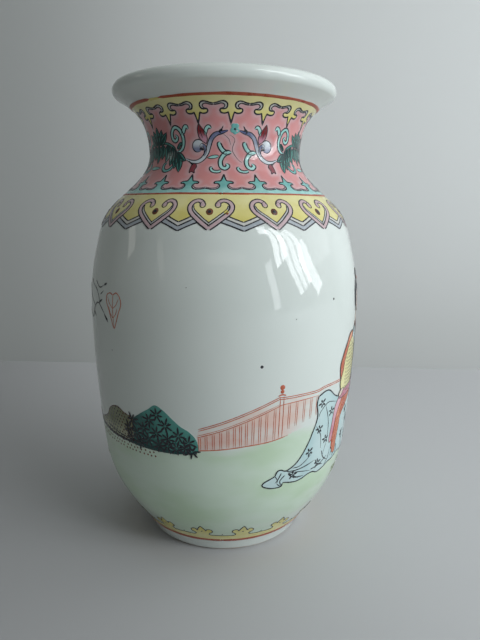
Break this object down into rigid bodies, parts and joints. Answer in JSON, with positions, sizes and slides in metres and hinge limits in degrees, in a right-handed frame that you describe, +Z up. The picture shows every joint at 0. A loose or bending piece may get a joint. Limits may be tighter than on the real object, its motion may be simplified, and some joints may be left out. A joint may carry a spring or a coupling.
{
  "type": "porcelain vase",
  "caption": "Baluster porcelain vase with a rolled lip, waisted neck, glazed body and overglaze enamel borders, garden scene and foot ring.",
  "frame": {"origin": "centre of the foot ring's standing plane", "axes": "+Z up the axis of the vase, -Y the front with the fence and bush, +X towards the painted figure"},
  "size_m": [0.121, 0.121, 0.2],
  "materials": {
    "porcelain_paste": "unglazed fired porcelain, fine and matt",
    "white_glaze": "clear glossy glaze with a faint blue-green cast",
    "iron_red_enamel": "thin iron red enamel, slightly dry gloss",
    "yellow_enamel": "pale lemon yellow overglaze enamel, glossy",
    "pink_enamel": "mottled rose pink overglaze enamel, glossy",
    "turquoise_enamel": "opaque turquoise overglaze enamel, glossy",
    "green_enamel": "thin pale green enamel wash, glossy",
    "dark_green_enamel": "transparent dark green enamel over black, glossy",
    "black_outline": "painted black outline under the enamels, slightly dry",
    "mauve_enamel": "opaque blue-grey and lilac enamel, glossy",
    "orange_enamel": "orange-red enamel, glossy",
    "blue_enamel": "pale blue overglaze enamel, glossy",
    "skin_enamel": "pale flesh wash over white glaze, glossy"
  },
  "bodies": {
    "root": {"base_section": "porcelain_paste", "lower_body_section": "porcelain_paste", "upper_body_section": "porcelain_paste", "neck_section": "porcelain_paste", "outer_glaze": "white_glaze", "inner_glaze": "white_glaze", "base_glaze": "white_glaze", "lip_red_line": "iron_red_enamel", "neck_yellow_border": "yellow_enamel", "neck_pink_ground": "pink_enamel", "neck_turquoise_border": "turquoise_enamel", "neck_red_line": "iron_red_enamel", "shoulder_yellow_collar": "yellow_enamel", "ruyi_heads": "pink_enamel", "collar_jewels": "iron_red_enamel", "meadow_wash": "green_enamel", "foot_yellow_border": "yellow_enamel", "foot_red_line": "iron_red_enamel"}
  },
  "joints": []
}
